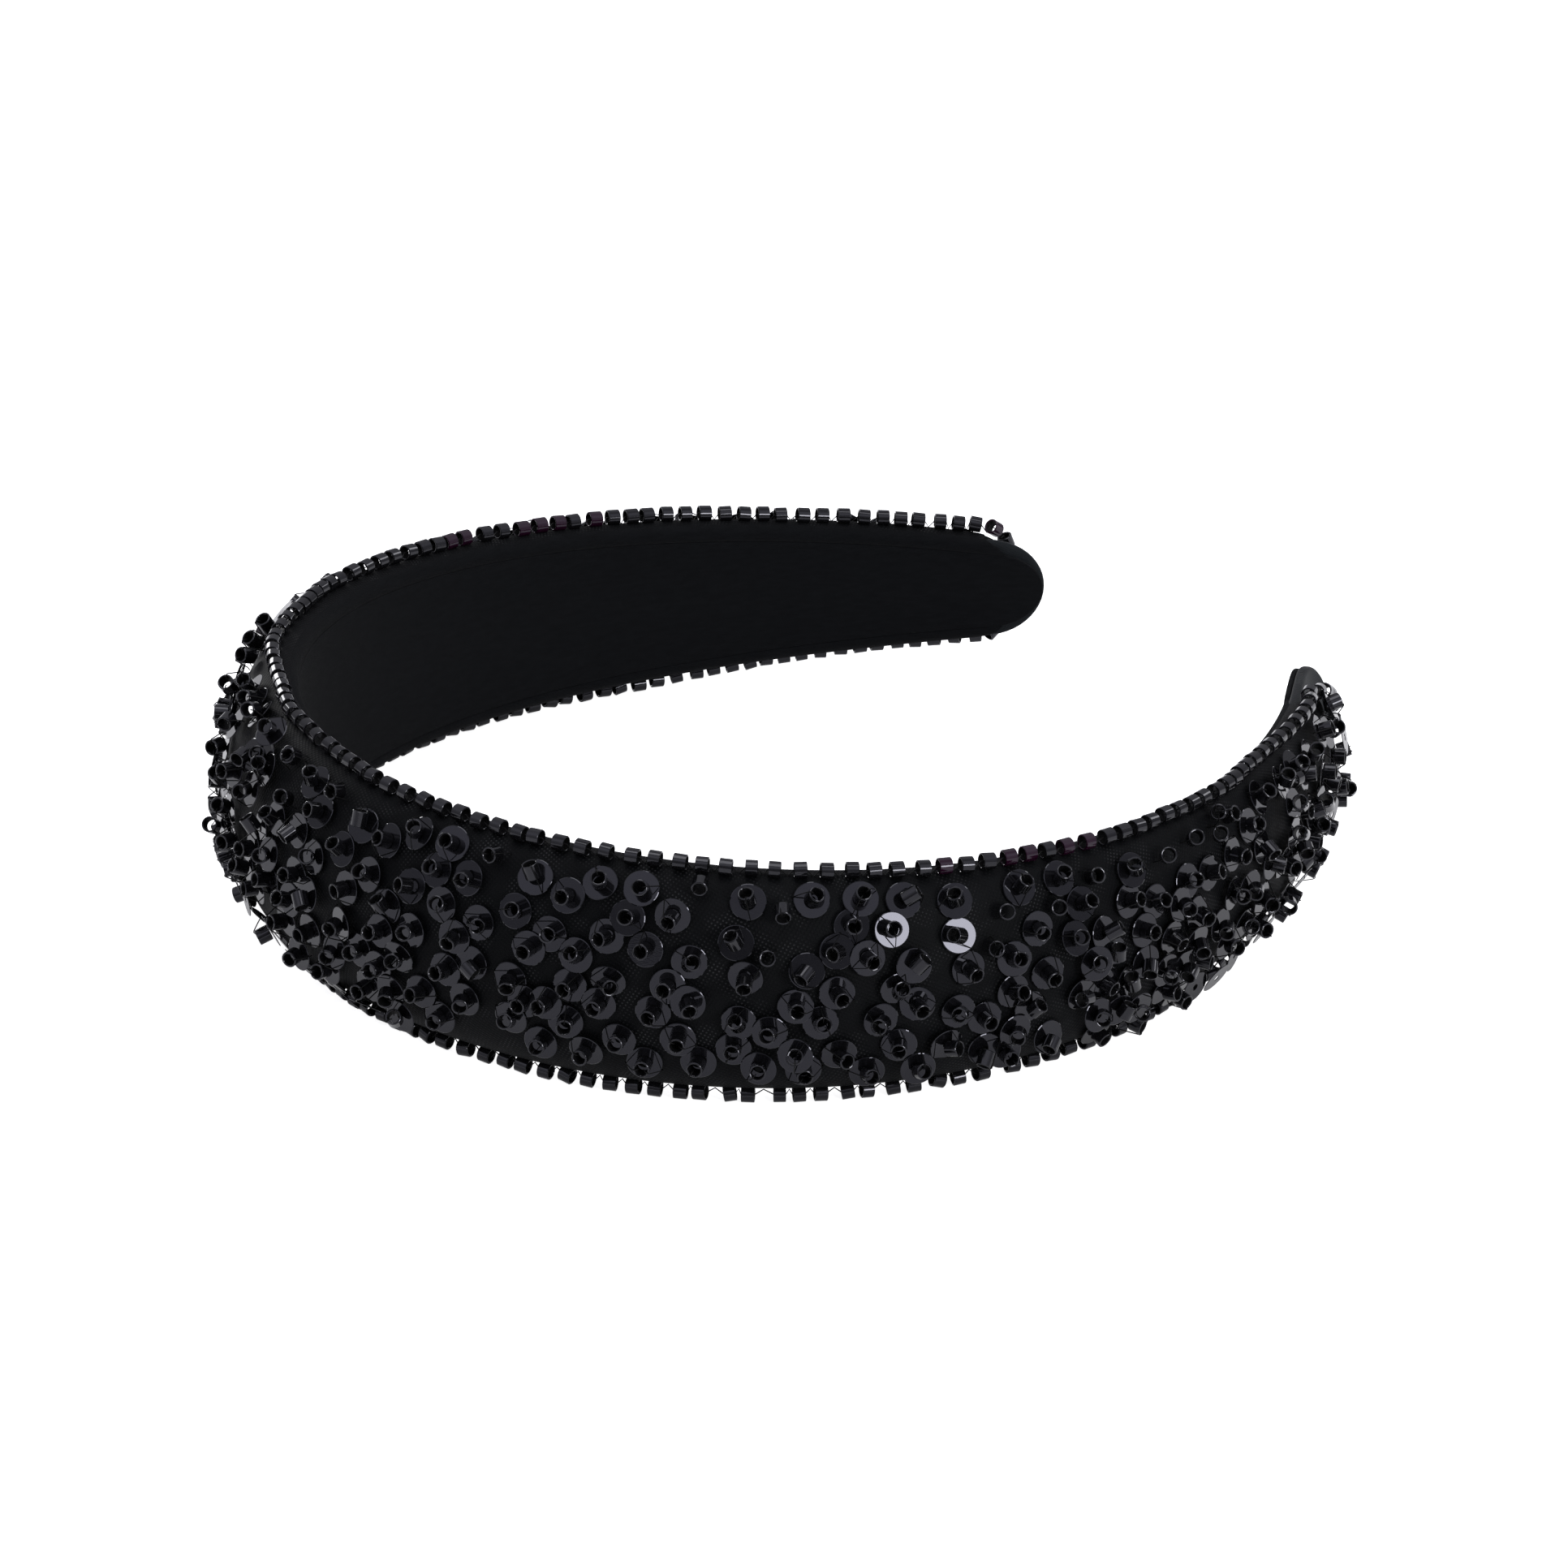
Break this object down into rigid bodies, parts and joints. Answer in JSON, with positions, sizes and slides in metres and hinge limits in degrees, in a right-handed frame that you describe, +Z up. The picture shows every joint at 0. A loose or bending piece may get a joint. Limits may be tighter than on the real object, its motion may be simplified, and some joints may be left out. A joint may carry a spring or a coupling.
{
  "type": "padded headband",
  "caption": "Horseshoe headband with a crowned padded cover, beaded edging, scattered sequins and bare round tongues, lying on its long edge.",
  "frame": {"origin": "on the surface that the band lies on, below the centre of its box", "axes": "+Z up from that surface, across the band's width; +Y from the crown towards the open end; +X from one limb to the other"},
  "size_m": [0.147, 0.1529, 0.0354],
  "materials": {
    "hoop_cloth": "matte slate black cloth",
    "velvet": "matte black velvet",
    "cover_cloth": "black twill-woven cloth with a slight sheen",
    "beads": "glossy black glass tube beads",
    "sequins": "mirror-glossy black"
  },
  "bodies": {
    "root": {"hoop": "hoop_cloth", "lining": "velvet", "padding": "cover_cloth", "edging_upper": "beads", "edging_lower": "beads", "sequins": "sequins"}
  },
  "joints": []
}
